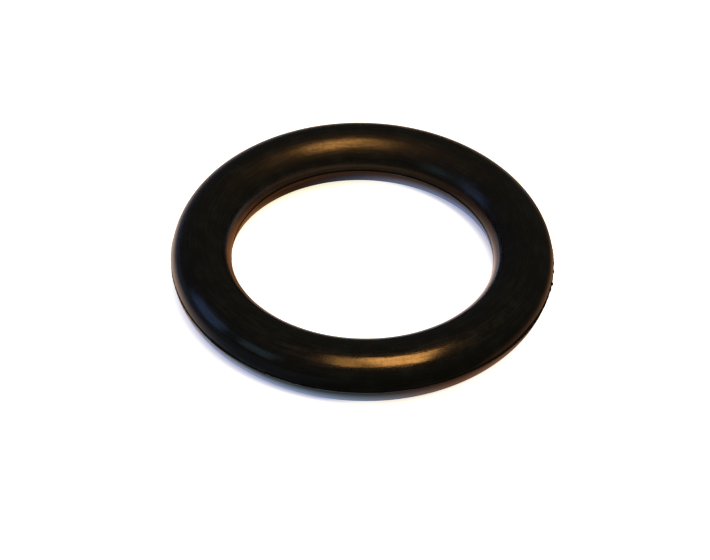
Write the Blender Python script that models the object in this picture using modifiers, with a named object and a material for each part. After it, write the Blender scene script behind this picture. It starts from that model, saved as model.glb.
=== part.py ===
"""A rubber O-ring of round section, lying flat.

The ring is moulded in one piece between two mould halves. They meet on the plane through the
middle of its section, and the rubber pressed out between them leaves a thin line of trimmed
flash round its outside and round its hole. The ring lies on z = 0 with its axis along +Z.
"""

import math

import bmesh
import bpy
from mathutils import Vector

MM = 0.001

# Driving dimensions, in millimetres
INSIDE_DIAMETER = 23.16     # across the hole on the parting plane, without the flash
SECTION_DIAMETER = 5.33     # thickness of the round section
FLASH_HEIGHT = 0.12         # how far the trimmed flash stands off the section
FLASH_ROOT_WIDTH = 0.34     # width of the flash where it leaves the section
FLASH_CREST_WIDTH = 0.12    # width of its crest, the gap between the mould halves

# Fineness of the turned form
ARC_SIDES = 17              # sides of each half section, odd so that one lies flat on top
RING_STEPS = 96             # steps round the ring
SHARP_ANGLE = math.radians(30)

RUBBER_COLOUR = (0.012, 0.010, 0.008, 1.0)
RUBBER_ROUGHNESS = 0.38


def clear_scene():
    for old in list(bpy.data.objects):
        bpy.data.objects.remove(old, do_unlink=True)


def rubber_material():
    material = bpy.data.materials.new("black_rubber")
    material.use_nodes = True
    shader = material.node_tree.nodes["Principled BSDF"]
    shader.inputs["Base Color"].default_value = RUBBER_COLOUR
    shader.inputs["Roughness"].default_value = RUBBER_ROUGHNESS
    shader.inputs["Metallic"].default_value = 0.0
    return material


def half_section(side):
    """Points of one mould half's cavity, from the hole over to the outside.

    side is 1 for the upper half and -1 for the lower. The arc's sides touch the true circle at
    their middles, so the ring is as thick as its section is wide.
    """
    radius = SECTION_DIAMETER / 2
    root_angle = math.asin(FLASH_ROOT_WIDTH / 2 / radius)
    step = (math.pi - 2 * root_angle) / ARC_SIDES
    corner_radius = radius / math.cos(step / 2)
    centre = (INSIDE_DIAMETER + SECTION_DIAMETER) / 2
    points = []
    for i in range(ARC_SIDES + 1):
        angle = math.pi - root_angle - i * step
        x = centre + corner_radius * math.cos(angle)
        z = radius + side * corner_radius * math.sin(angle)
        points.append((x, z))
    return points


def flash_crest(x, side):
    """The two corners of the flash's crest at x, the first on the given side."""
    middle = SECTION_DIAMETER / 2
    half = FLASH_CREST_WIDTH / 2
    return [(x, middle + side * half), (x, middle - side * half)]


def ring_profile():
    """The section's outline, down the outside and up through the hole."""
    hole_crest = INSIDE_DIAMETER / 2 - FLASH_HEIGHT
    outer_crest = INSIDE_DIAMETER / 2 + SECTION_DIAMETER + FLASH_HEIGHT
    upper = half_section(1)
    lower = half_section(-1)
    lower.reverse()
    return upper + flash_crest(outer_crest, 1) + lower + flash_crest(hole_crest, -1)


def turn_ring(name, profile, collection):
    """Turn a closed outline in the XZ plane into a ring about Z."""
    mesh = bpy.data.meshes.new(name)
    form = bmesh.new()
    corners = [form.verts.new(Vector((x, 0.0, z)) * MM) for x, z in profile]
    for i, corner in enumerate(corners):
        form.edges.new((corners[i - 1], corner))
    form.to_mesh(mesh)
    form.free()

    ring = bpy.data.objects.new(name, mesh)
    collection.objects.link(ring)
    screw = ring.modifiers.new("turn", "SCREW")
    screw.axis = "Z"
    screw.angle = math.tau
    screw.steps = RING_STEPS
    screw.render_steps = RING_STEPS
    screw.use_merge_vertices = True
    screw.merge_threshold = 0.000001
    bpy.context.view_layer.objects.active = ring
    bpy.ops.object.modifier_apply(modifier=screw.name)
    ring.data.shade_smooth()
    ring.data.set_sharp_from_angle(angle=SHARP_ANGLE)
    return ring


def main():
    clear_scene()
    collection = bpy.data.collections.new("o_ring_parts")
    bpy.context.scene.collection.children.link(collection)
    ring = turn_ring("o_ring", ring_profile(), collection)
    ring.data.materials.append(rubber_material())


main()
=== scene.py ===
"""The looks of a moulded rubber O-ring: the ring, a pale table, soft light and the camera."""

import math

import bpy
import numpy as np
from mathutils import Matrix, Vector, noise


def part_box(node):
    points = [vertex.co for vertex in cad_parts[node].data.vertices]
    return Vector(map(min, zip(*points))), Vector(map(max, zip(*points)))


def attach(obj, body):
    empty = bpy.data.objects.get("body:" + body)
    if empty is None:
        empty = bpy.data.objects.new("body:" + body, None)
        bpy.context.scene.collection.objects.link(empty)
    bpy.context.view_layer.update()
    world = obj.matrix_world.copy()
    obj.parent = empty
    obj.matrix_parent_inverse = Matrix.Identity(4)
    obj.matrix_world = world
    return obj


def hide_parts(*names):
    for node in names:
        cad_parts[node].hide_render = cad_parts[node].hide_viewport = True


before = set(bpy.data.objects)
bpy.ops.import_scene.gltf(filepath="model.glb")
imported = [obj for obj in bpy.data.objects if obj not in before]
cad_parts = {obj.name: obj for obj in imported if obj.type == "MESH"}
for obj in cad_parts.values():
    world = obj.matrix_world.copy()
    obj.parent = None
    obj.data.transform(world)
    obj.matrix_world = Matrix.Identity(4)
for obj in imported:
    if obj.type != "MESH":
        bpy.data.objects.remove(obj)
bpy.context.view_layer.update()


# The ring
# One ring of black rubber, pressed between two heated mould halves that meet on the plane
# through the middle of its round section. The thin flash squeezed out between them was
# trimmed by hand, which left a low ragged line round the outside and round the hole.

FLASH_HEIGHT = 0.00012
FLASH_ROOT_WIDTH = 0.00034
SECTION_SIDES = 60
STEPS_ROUND = 1200
TOUCHING = 0.000001

low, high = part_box("o_ring")
tube_radius = (high.z - low.z) / 2
ring_radius = (high.x - low.x) / 2 - FLASH_HEIGHT - tube_radius
parting_height = low.z + tube_radius

# The round section is spun once round the ring's axis
bpy.ops.object.select_all(action="DESELECT")
bpy.ops.mesh.primitive_circle_add(
    vertices=SECTION_SIDES,
    radius=tube_radius,
    fill_type="NOTHING",
    location=(ring_radius, 0, parting_height),
    rotation=(math.radians(90), 0, 0),
)
ring = bpy.context.active_object
ring.name = "rubber_ring"
bpy.ops.object.transform_apply(location=True, rotation=True, scale=True)
bpy.ops.object.mode_set(mode="EDIT")
bpy.ops.mesh.select_all(action="SELECT")
bpy.ops.mesh.spin(steps=STEPS_ROUND, angle=math.tau, center=(0, 0, 0), axis=(0, 0, 1))
bpy.ops.mesh.select_all(action="SELECT")
bpy.ops.mesh.remove_doubles(threshold=TOUCHING)
bpy.ops.mesh.normals_make_consistent(inside=False)
bpy.ops.object.mode_set(mode="OBJECT")


def corners_of(piece):
    corners = np.empty(len(piece.data.vertices) * 3)
    piece.data.vertices.foreach_get("co", corners)
    return corners.reshape(-1, 3)


def select_near_parting(piece, reach):
    """Selects the edges that lie within this height of the parting plane."""
    near = np.abs(corners_of(piece)[:, 2] - parting_height) < reach
    ends = np.empty(len(piece.data.edges) * 2, int)
    piece.data.edges.foreach_get("vertices", ends)
    piece.data.vertices.foreach_set("select", np.zeros(len(near), bool))
    piece.data.edges.foreach_set("select", near[ends].reshape(-1, 2).all(axis=1))
    piece.data.polygons.foreach_set("select", np.zeros(len(piece.data.polygons), bool))


# The edge loops on the parting plane, outside and in the hole, are widened into a strip
# with two inner loops, and those two are drawn out into the crest of the flash.
select_near_parting(ring, reach=TOUCHING)
bpy.ops.object.mode_set(mode="EDIT")
bpy.ops.mesh.select_mode(type="EDGE")
bpy.ops.mesh.bevel(offset=FLASH_ROOT_WIDTH / 2, segments=3, affect="EDGES")
bpy.ops.object.mode_set(mode="OBJECT")

# Where the trimming left more flash standing: two long stretches, then the nibs at the right.
# Each is an angle round the ring in degrees, a height and a length, both in metres.
LEFT_STANDING = [
    (227.0, 0.00007, 0.0065),
    (326.0, 0.00009, 0.0095),
    (355.0, 0.00008, 0.00024),
    (349.5, 0.00012, 0.00028),
    (347.0, 0.00004, 0.00050),
    (358.6, 0.00004, 0.00040),
]

# Elsewhere the trimming left an uneven share of the moulded height, and less of it in the hole.
# The waves are counted to a radian, and those of the line's drift up and down to a metre.
MEAN_SHARE = 0.36
UNEVEN_SHARE = 0.22
LEAST_SHARE = 0.1
HOLE_FLASH_SHARE = 0.55
SLOW_WAVES = 6
RAGGED_WAVES = 70
RAGGED_PATTERN = Vector((0, 0, 5))
HOLE_PATTERN_TURN = 1.0
DRIFT = 0.00002
DRIFT_WAVES = 900


def flash_rise(angle):
    """How far the trimmed flash stands off the section at this angle round the ring."""
    around = Vector((math.cos(angle), math.sin(angle), 0.0))
    slow = noise.noise(around * SLOW_WAVES)
    ragged = noise.noise(around * RAGGED_WAVES + RAGGED_PATTERN)
    rise = FLASH_HEIGHT * (MEAN_SHARE + UNEVEN_SHARE * slow + UNEVEN_SHARE * ragged)
    return max(rise, LEAST_SHARE * FLASH_HEIGHT)


corners = corners_of(ring)
for corner in np.flatnonzero(np.abs(corners[:, 2] - parting_height) < FLASH_ROOT_WIDTH / 3):
    x, y, z = corners[corner]
    angle = math.atan2(y, x)
    radius = math.hypot(x, y)
    if radius > ring_radius:
        rise = flash_rise(angle)
        for middle, height, length in LEFT_STANDING:
            apart = math.remainder(angle - math.radians(middle), math.tau) * radius
            rise += height * math.exp(-((2 * apart / length) ** 2))
        grown = radius + rise
    else:
        grown = radius - HOLE_FLASH_SHARE * flash_rise(angle + HOLE_PATTERN_TURN)
    drift = DRIFT * noise.noise(Vector((x, y, 0)) * DRIFT_WAVES)
    corners[corner] = (x * grown / radius, y * grown / radius, z + drift)

# The section isn't quite round: on the far side, its slope towards the hole is a little sunken.
# The turn is an angle round the section, from straight outwards over the top.
FLAT_DEPTH = 0.00010
FLAT_TURN = math.radians(142)
FLAT_SPREAD = math.radians(28)
from_centre = np.hypot(corners[:, 0], corners[:, 1])
across_tube = from_centre - ring_radius
up_tube = corners[:, 2] - parting_height
turn = np.arctan2(up_tube, across_tube)
far_side = np.clip(corners[:, 1] / ring_radius, 0, 1) ** 2
sunk = FLAT_DEPTH / tube_radius * far_side * np.exp(-(((turn - FLAT_TURN) / FLAT_SPREAD) ** 2))
corners[:, :2] *= ((from_centre - sunk * across_tube) / from_centre)[:, None]
corners[:, 2] -= sunk * up_tube

ring.data.vertices.foreach_set("co", corners.ravel())
ring.data.update()
bpy.ops.object.shade_smooth_by_angle(angle=math.radians(15))


class Wire:
    """A shader socket that takes part in Python sums, each of which adds a Math node."""

    def __init__(self, tree, socket=None):
        self.tree = tree
        self.socket = socket

    def node(self, kind, settings, inputs, output=0):
        """Adds a node, with its settings made before its sockets, and returns an output."""
        made = self.tree.nodes.new("ShaderNode" + kind)
        for name, value in settings.items():
            setattr(made, name, value)
        for name, value in inputs.items():
            if isinstance(value, Wire):
                self.tree.links.new(value.socket, made.inputs[name])
            else:
                made.inputs[name].default_value = value
        return Wire(self.tree, made.outputs[output])

    def maths(self, operation, *values):
        return self.node("Math", {"operation": operation}, dict(enumerate(values)))

    def __add__(self, other):
        return self.maths("ADD", self, other)

    def __radd__(self, other):
        return self.maths("ADD", other, self)

    def __sub__(self, other):
        return self.maths("SUBTRACT", self, other)

    def __rsub__(self, other):
        return self.maths("SUBTRACT", other, self)

    def __mul__(self, other):
        return self.maths("MULTIPLY", self, other)

    def __rmul__(self, other):
        return self.maths("MULTIPLY", other, self)

    def __truediv__(self, other):
        return self.maths("DIVIDE", self, other)

    def between(self, start, end):
        """0 below start, 1 above end, and smooth between them."""
        settings = {"interpolation_type": "SMOOTHSTEP"}
        return self.node("MapRange", settings, {0: self, 1: start, 2: end})

    def blend(self, first, second):
        """The first colour where this is 0 and the second where it is 1."""
        inputs = {"Factor": self, 6: first, 7: second}
        return self.node("Mix", {"data_type": "RGBA"}, inputs, output=2)


CLEAN_BLACK = (0.0024, 0.0040, 0.0060, 1)
HAZY_BLACK = (0.0048, 0.0072, 0.0100, 1)
WARM_TINT = (1.0, 0.66, 0.32, 1)
FLOW_ALONG = 6
FLOW_ACROSS = 16

rubber = bpy.data.materials.new("black_rubber")
rubber.use_nodes = True
shader = rubber.node_tree.nodes["Principled BSDF"]
sheet = Wire(rubber.node_tree)

place = sheet.node("TexCoord", {}, {}, output="Object")
x, y, z = (sheet.node("SeparateXYZ", {}, {0: place}, output=axis) for axis in range(3))
from_axis = sheet.maths("SQRT", x * x + y * y)
round_section = sheet.maths("ARCTAN2", z - parting_height, from_axis - ring_radius)

# Flow marks run along the ring, so their pattern is drawn out that way
along_x = x / from_axis * FLOW_ALONG
along_y = y / from_axis * FLOW_ALONG
across_flow = round_section * FLOW_ACROSS
flow_place = sheet.node("CombineXYZ", {}, {0: along_x, 1: along_y, 2: across_flow})
flow = sheet.node("TexNoise", {}, {"Vector": flow_place, "Scale": 1.0, "Detail": 4.0})
patches = sheet.node("TexNoise", {}, {"Vector": place, "Scale": 700.0, "Detail": 5.0})
grain = sheet.node("TexNoise", {}, {"Vector": place, "Scale": 9000.0, "Detail": 3.0})

# The rubber is glossiest in front, and duller towards the far side, in the haze and in patches
haze = (flow * 0.5 + patches * 0.5).between(0.42, 0.68)
colour = haze.blend(CLEAN_BLACK, HAZY_BLACK)
roughness = 0.13 + 0.09 * y.between(-0.009, 0.011) + 0.05 * haze + 0.04 * patches
height = 0.8 * grain + 2.0 * patches + 3.5 * flow

# The lower mould half left a smoother skin outside, below the parting line
outer_half = from_axis.between(ring_radius, ring_radius + 0.0005)
smooth_skin = 0.6 * (parting_height - z).between(0.0001, 0.0006) * outer_half

varied = {"Base Color": colour, "Roughness": roughness, "Coat Weight": smooth_skin}
for name, value in varied.items():
    sheet.tree.links.new(value.socket, shader.inputs[name])
bump = sheet.node("Bump", {}, {"Height": height, "Strength": 0.7, "Distance": 0.000004})
sheet.tree.links.new(bump.socket, shader.inputs["Normal"])
shader.inputs["IOR"].default_value = 1.5
shader.inputs["Coat Roughness"].default_value = 0.25
shader.inputs["Specular Tint"].default_value = WARM_TINT

# A thin bloom of dried oil lies on top, in fine specks and drawn-out streaks, and it is thickest
# on the far side
specks = sheet.node("TexNoise", {}, {"Vector": place, "Scale": 3600.0, "Detail": 2.0})
streaked = (specks * 0.55 + flow * 0.45).between(0.40, 0.62)
thickness = 0.37 * y.between(-0.004, 0.010) + 0.28 * streaked
bloom = (z - parting_height).between(0.0010, 0.0018) * thickness
bloom_look = {
    "Base Color": colour,
    "Roughness": 0.5,
    "Specular IOR Level": 0.2,
    "Specular Tint": WARM_TINT,
    "Normal": bump,
}
bloomed = sheet.node("BsdfPrincipled", {}, bloom_look)
skin = sheet.node("MixShader", {}, {0: bloom, 1: Wire(sheet.tree, shader.outputs[0]), 2: bloomed})

# The torn edge of the flash is dull all along
torn_edge = 1 - sheet.maths("ABSOLUTE", z - parting_height).between(0.00008, 0.00015)
torn = sheet.node("BsdfDiffuse", {}, {"Color": colour, "Roughness": 0.5})
surface = sheet.node("MixShader", {}, {0: 0.92 * torn_edge, 1: skin, 2: torn})
sheet.tree.links.new(surface.socket, sheet.tree.nodes["Material Output"].inputs["Surface"])

ring.data.materials.append(rubber)
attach(ring, "root")
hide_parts("o_ring")


# The table
# A smooth white table top, bright enough to show nearly white, with the ring's soft bluish
# shadow on it, partly cast by the lamps and partly painted. The room round it is dark. The glossy
# rubber mirrors the table more dimly than it is seen, with painted light and shade and a painted
# glow that only the rubber mirrors, apart from what the camera sees.

bpy.ops.object.select_all(action="DESELECT")
bpy.ops.mesh.primitive_circle_add(vertices=96, radius=3.0, fill_type="NGON", location=(0, 0, 0))
table = bpy.context.active_object
table.name = "table"

white = bpy.data.materials.new("white_table")
white.use_nodes = True
white_shader = white.node_tree.nodes["Principled BSDF"]
paint = Wire(white.node_tree)
white_shader.inputs["Roughness"].default_value = 0.9
white_shader.inputs["Specular IOR Level"].default_value = 0.0
seen = paint.node("LightPath", {}, {}, output="Is Camera Ray")
mirrored = paint.node("LightPath", {}, {}, output="Is Glossy Ray")
through = paint.node("LightPath", {}, {}, output="Is Transmission Ray")

# All places on the table are in metres from the ring's axis, which is the table's own origin
spot = paint.node("TexCoord", {}, {}, output="Object")
across, behind = (paint.node("SeparateXYZ", {}, {0: spot}, output=axis) for axis in range(2))
leftward = 0 - across
forward = 0 - behind
outward = paint.node("VectorMath", {"operation": "LENGTH"}, {0: spot}, output="Value") - ring_radius
from_ring = paint.maths("ABSOLUTE", outward)
outside = outward.between(0, 0.001)
hole = 1 - outside
to_the_right = across.between(-0.001, 0.010)
in_front = forward.between(0.002, 0.018)

# What the rubber mirrors of the table is painted light and shade. It is bright beside the ring
# and painted dark a step away from it, except at the back and the left, which stay painted
# bright. It is painted dimmer in front at the right and on the right flank.
right_flank = (across + 0.5 * behind).between(0.004, 0.014)
reach = paint.maths("SQRT", across * across + 0.36 * (behind - 0.005) * (behind - 0.005))
painted_lit_side = (behind - 0.7 * across).between(-0.006, 0.014) * (1 - reach.between(0.017, 0.030))
painted_dark_side = 1 - painted_lit_side
a_step_off = from_ring.between(0.0042, 0.0062 + 0.006 * right_flank)
painted_step_shade = a_step_off * painted_dark_side
dim_front = 1 - 0.4 * in_front * to_the_right
dim_flank = 1 - 0.4 * right_flank * painted_dark_side
lit_outside = (1 - painted_step_shade) * dim_front * dim_flank

# In the hole, what the rubber mirrors is painted darkest in the middle towards the back, and
# painted dim near the front and at the foot of the walls at the left and the back
off_middle = paint.maths("ABSOLUTE", across).between(0.004, 0.009)
in_the_middle = (1 - off_middle) * behind.between(0, 0.005)
near_the_front = forward.between(-0.003, 0.006)
left_band = from_ring.between(0.0036, 0.0046) * (1 - from_ring.between(0.0055, 0.0085))
left_foot = leftward.between(0.0065, 0.010) * left_band
off_back_foot = paint.maths("ABSOLUTE", across + 0.0035).between(0.002, 0.007)
back_foot = (1 - off_back_foot) * behind.between(0.004, 0.009)
by_left_wall = 1 - from_ring.between(0.005, 0.008)
left_front = leftward.between(0.006, 0.009) * forward.between(-0.005, -0.001) * by_left_wall
dim_middle = 1 - 0.75 * a_step_off * in_the_middle
dim_near_front = 1 - 0.5 * near_the_front
dim_left_front = 1 - 0.42 * left_front
lit_in_hole = dim_middle * dim_near_front * dim_left_front
dim_left_foot = 1 - 0.8 * left_foot
dim_back_foot = 1 - 0.8 * back_foot * (1 - from_ring.between(0.003, 0.0045))
lit_at_foot = dim_left_foot * dim_back_foot

# The table's colours, lit by the lamps. The camera sees one plain colour. What the rubber
# mirrors is painted: a dark painted shade, and tints that stand in for light, bluer at the left
# outside and at the right in the hole, rosy at the right outside and coppery at the left in the
# hole
TABLE_AS_SEEN = (0.80, 0.84, 0.94, 1)
TABLE_IN_SHADE = (0.03, 0.035, 0.04, 1)
PALE_LILAC = (0.90, 0.84, 0.88, 1)
CLEAR_BLUE = (0.27, 0.52, 1.0, 1)
DULL_ROSE = (0.56, 0.40, 0.42, 1)
COPPER = (0.66, 0.39, 0.29, 1)
GREY_LILAC = (0.56, 0.56, 0.66, 1)
GREY_BLUE = (0.48, 0.52, 0.72, 1)

left_colour = in_front.blend(PALE_LILAC, CLEAR_BLUE)
outside_colour = (to_the_right * painted_dark_side).blend(left_colour, DULL_ROSE)
left_in_hole = near_the_front.blend(COPPER, GREY_LILAC)
hole_colour = across.between(-0.006, 0.006).blend(left_in_hole, GREY_BLUE)
lit_colour = outside.blend(hole_colour, outside_colour)
lit = outside * lit_outside + hole * lit_in_hole * lit_at_foot
mirrored_colour = lit.blend(TABLE_IN_SHADE, lit_colour)
table_colour = seen.blend(mirrored_colour, TABLE_AS_SEEN)
paint.tree.links.new(table_colour.socket, white_shader.inputs["Base Color"])

# Light added to the table's own as a glow. The rubber mirrors a painted glow of daylight, sky and
# rosy light, or none. The camera sees the white of the room, with a painted warm tint and a
# painted blue shadow.
NO_GLOW = (0, 0, 0, 1)
THIN_SKY = (0.05, 0.09, 0.22, 1)
OPEN_SKY = (0.25, 0.50, 0.70, 1)
ROSY_GLOW = (1.10, 0.75, 0.68, 1)
DAYLIGHT_IN_HOLE = (0.36, 0.66, 1.40, 1)
DAYLIGHT_OUTSIDE = (0.42, 0.57, 1.02, 1)
DAYLIGHT_AT_FOOT = (0.36, 0.43, 0.60, 1)
NEARLY_WHITE = (0.985, 0.975, 0.965, 1)
CREAM = (0.97, 0.89, 0.68, 1)
WARM_WHITE = (0.95, 0.87, 0.78, 1)
SHADOW_BLUE = (0.42, 0.43, 0.55, 1)

# A painted glow that only the rubber mirrors stands in for cool daylight from the left. It fills
# the warm lamps' shadow close to the left of each rubber wall and lies thinly on the table further
# out, with a painted glow of open sky at the back, at the left and in the hole.
left_outside = outside * leftward.between(-0.009, 0.006) * forward.between(0.003, 0.014)
left_of_rubber = left_outside + hole * across.between(-0.006, 0.006) * behind.between(0.002, 0.009)
daylight = left_of_rubber * (1 - from_ring.between(0.0026, 0.0043))
open_in_hole = from_ring.between(0.0045, 0.009) * (1 - 0.9 * in_the_middle)
sky = 0.35 * outside * painted_lit_side * from_ring.between(0.003, 0.007) + hole * open_in_hole
thin_sky = outside * leftward.between(0.002, 0.014) * a_step_off
far_glow = thin_sky.blend(NO_GLOW, THIN_SKY)
open_glow = sky.blend(far_glow, OPEN_SKY)

# The hole's right wall mirrors a painted rosy glow on the table, with a browner, dimmer painted
# band in it towards the back
right_in_hole = hole * (across - 0.45 * behind).between(0.003, 0.008)
by_right_wall = right_in_hole * from_ring.between(0.0005, 0.0045)
brown_band = from_ring.between(0.003, 0.0037) * (1 - from_ring.between(0.0043, 0.0052))
rosy = by_right_wall * (1 - 0.6 * brown_band * behind.between(0.002, 0.005))
bright_glow = rosy.blend(open_glow, ROSY_GLOW)
clear_daylight = outside.blend(DAYLIGHT_IN_HOLE, DAYLIGHT_OUTSIDE)
daylight_colour = from_ring.between(0.0010, 0.0026).blend(DAYLIGHT_AT_FOOT, clear_daylight)
mirrored_glow = daylight.blend(bright_glow, daylight_colour)

# As seen, a painted shadow lies to the left of each rubber wall. It is wider and softer the
# further it is from the middle, and it adds to the shadow that the lamps themselves cast.
shaded = outside * leftward.between(-0.001, 0.004) + hole * across.between(0.0, 0.007)
shadow_end = 0.0016 - 0.0003 * hole + across * across * (5.6 + 6.9 * hole)
shadow_start = 0.00055 + 0.35 * shadow_end
in_shadow = shaded * (1 - from_ring.between(shadow_start, shadow_end))

# As seen, the lit table is painted a warmer light in front at the right, and beside the hole's
# left wall
warm_edge = across.between(-0.004, 0.004) * forward.between(0.004, 0.010)
warm_wall = hole * leftward.between(-0.004, 0.004) * (1 - from_ring.between(0.0012, 0.0030))
warm_side = warm_wall.blend(NEARLY_WHITE, CREAM)
lit_glow = warm_edge.blend(warm_side, WARM_WHITE)
seen_glow = in_shadow.blend(lit_glow, SHADOW_BLUE)
glow_colour = seen.blend(mirrored_glow, seen_glow)
glow = paint.node("Emission", {}, {"Color": glow_colour, "Strength": seen + mirrored + through})
table_top = paint.node("AddShader", {}, {0: Wire(paint.tree, white_shader.outputs[0]), 1: glow})
paint.tree.links.new(table_top.socket, paint.tree.nodes["Material Output"].inputs["Surface"])
table.data.materials.append(white)


# The light
# Two warm soft boxes hang overhead, a little towards the camera, and the brighter one is to the
# right. A cool window stands low at the left with a dimmer blue wall beside it. The room behind
# them is dark, and only the camera sees it white.


def soft_box(name, direction, distance, size, radiance, tint, turn=0.0):
    """A rectangular lamp facing the ring, as bright as a surface of that radiance."""
    lamp = bpy.data.lights.new(name, "AREA")
    lamp.shape = "RECTANGLE"
    lamp.size, lamp.size_y = size
    lamp.energy = radiance * math.pi * size[0] * size[1]
    lamp.color = tint
    holder = bpy.data.objects.new(name, lamp)
    bpy.context.scene.collection.objects.link(holder)
    away = Vector(direction).normalized()
    facing = away.to_track_quat("Z", "Y").to_matrix().to_4x4()
    turned = Matrix.Rotation(math.radians(turn), 4, "Z")
    holder.matrix_world = Matrix.Translation(away * distance) @ facing @ turned


WARM = (1.0, 0.69, 0.36)
COOL = (0.11, 0.27, 0.95)
WALL_BLUE = (0.16, 0.42, 1.0)
OVERHEAD = 2.1
SIDEWAYS = 2.4
DARK_ROOM = 0.04

soft_box("overhead_box", (0.272, -0.325, 1.0), OVERHEAD, (0.75, 1.20), 17.0, WARM, turn=-25.0)
soft_box("overhead_left_box", (-0.055, -0.36, 1.0), OVERHEAD, (0.45, 1.20), 6.5, WARM)
soft_box("left_window", (-0.96, 0.05, 0.26), SIDEWAYS, (1.0, 1.1), 2.25, COOL)
soft_box("left_wall", (-0.79, -0.48, 0.38), SIDEWAYS, (0.8, 0.75), 1.5, WALL_BLUE)

world = bpy.data.worlds.new("room")
world.use_nodes = True
room = Wire(world.node_tree)
backdrop = world.node_tree.nodes["Background"]
camera_sees = room.node("LightPath", {}, {}, output="Is Camera Ray")
backdrop.inputs["Color"].default_value = (1, 1, 1, 1)
room_strength = camera_sees * (1 - DARK_ROOM) + DARK_ROOM
room.tree.links.new(room_strength.socket, backdrop.inputs["Strength"])
bpy.context.scene.world = world
bpy.context.scene.view_settings.view_transform = "Standard"


# The camera
# It looks down on the ring at 43 degrees from a little way off, turned slightly about its
# own line of sight, with the whole ring well inside the picture.

ELEVATION = math.radians(43.14)
ROLL = math.radians(1.32)
DISTANCE = 16.70 * ring_radius
AIM = Vector((-0.0432, -0.0224, 0.0)) * ring_radius
PHOTO_WIDTH = 710
FOCAL_PIXELS = 2669

view = bpy.data.cameras.new("camera")
view.sensor_width = 36
view.lens = view.sensor_width * FOCAL_PIXELS / PHOTO_WIDTH
view.clip_start = 0.01
view.clip_end = 20
camera = bpy.data.objects.new("camera", view)
bpy.context.scene.collection.objects.link(camera)
tilt = Matrix.Rotation(math.radians(90) - ELEVATION, 4, "X")
back = tilt @ Vector((0, 0, 1))
stand = Matrix.Translation(AIM + back * DISTANCE) @ tilt
camera.matrix_world = stand @ Matrix.Rotation(ROLL, 4, "Z")
bpy.context.scene.camera = camera
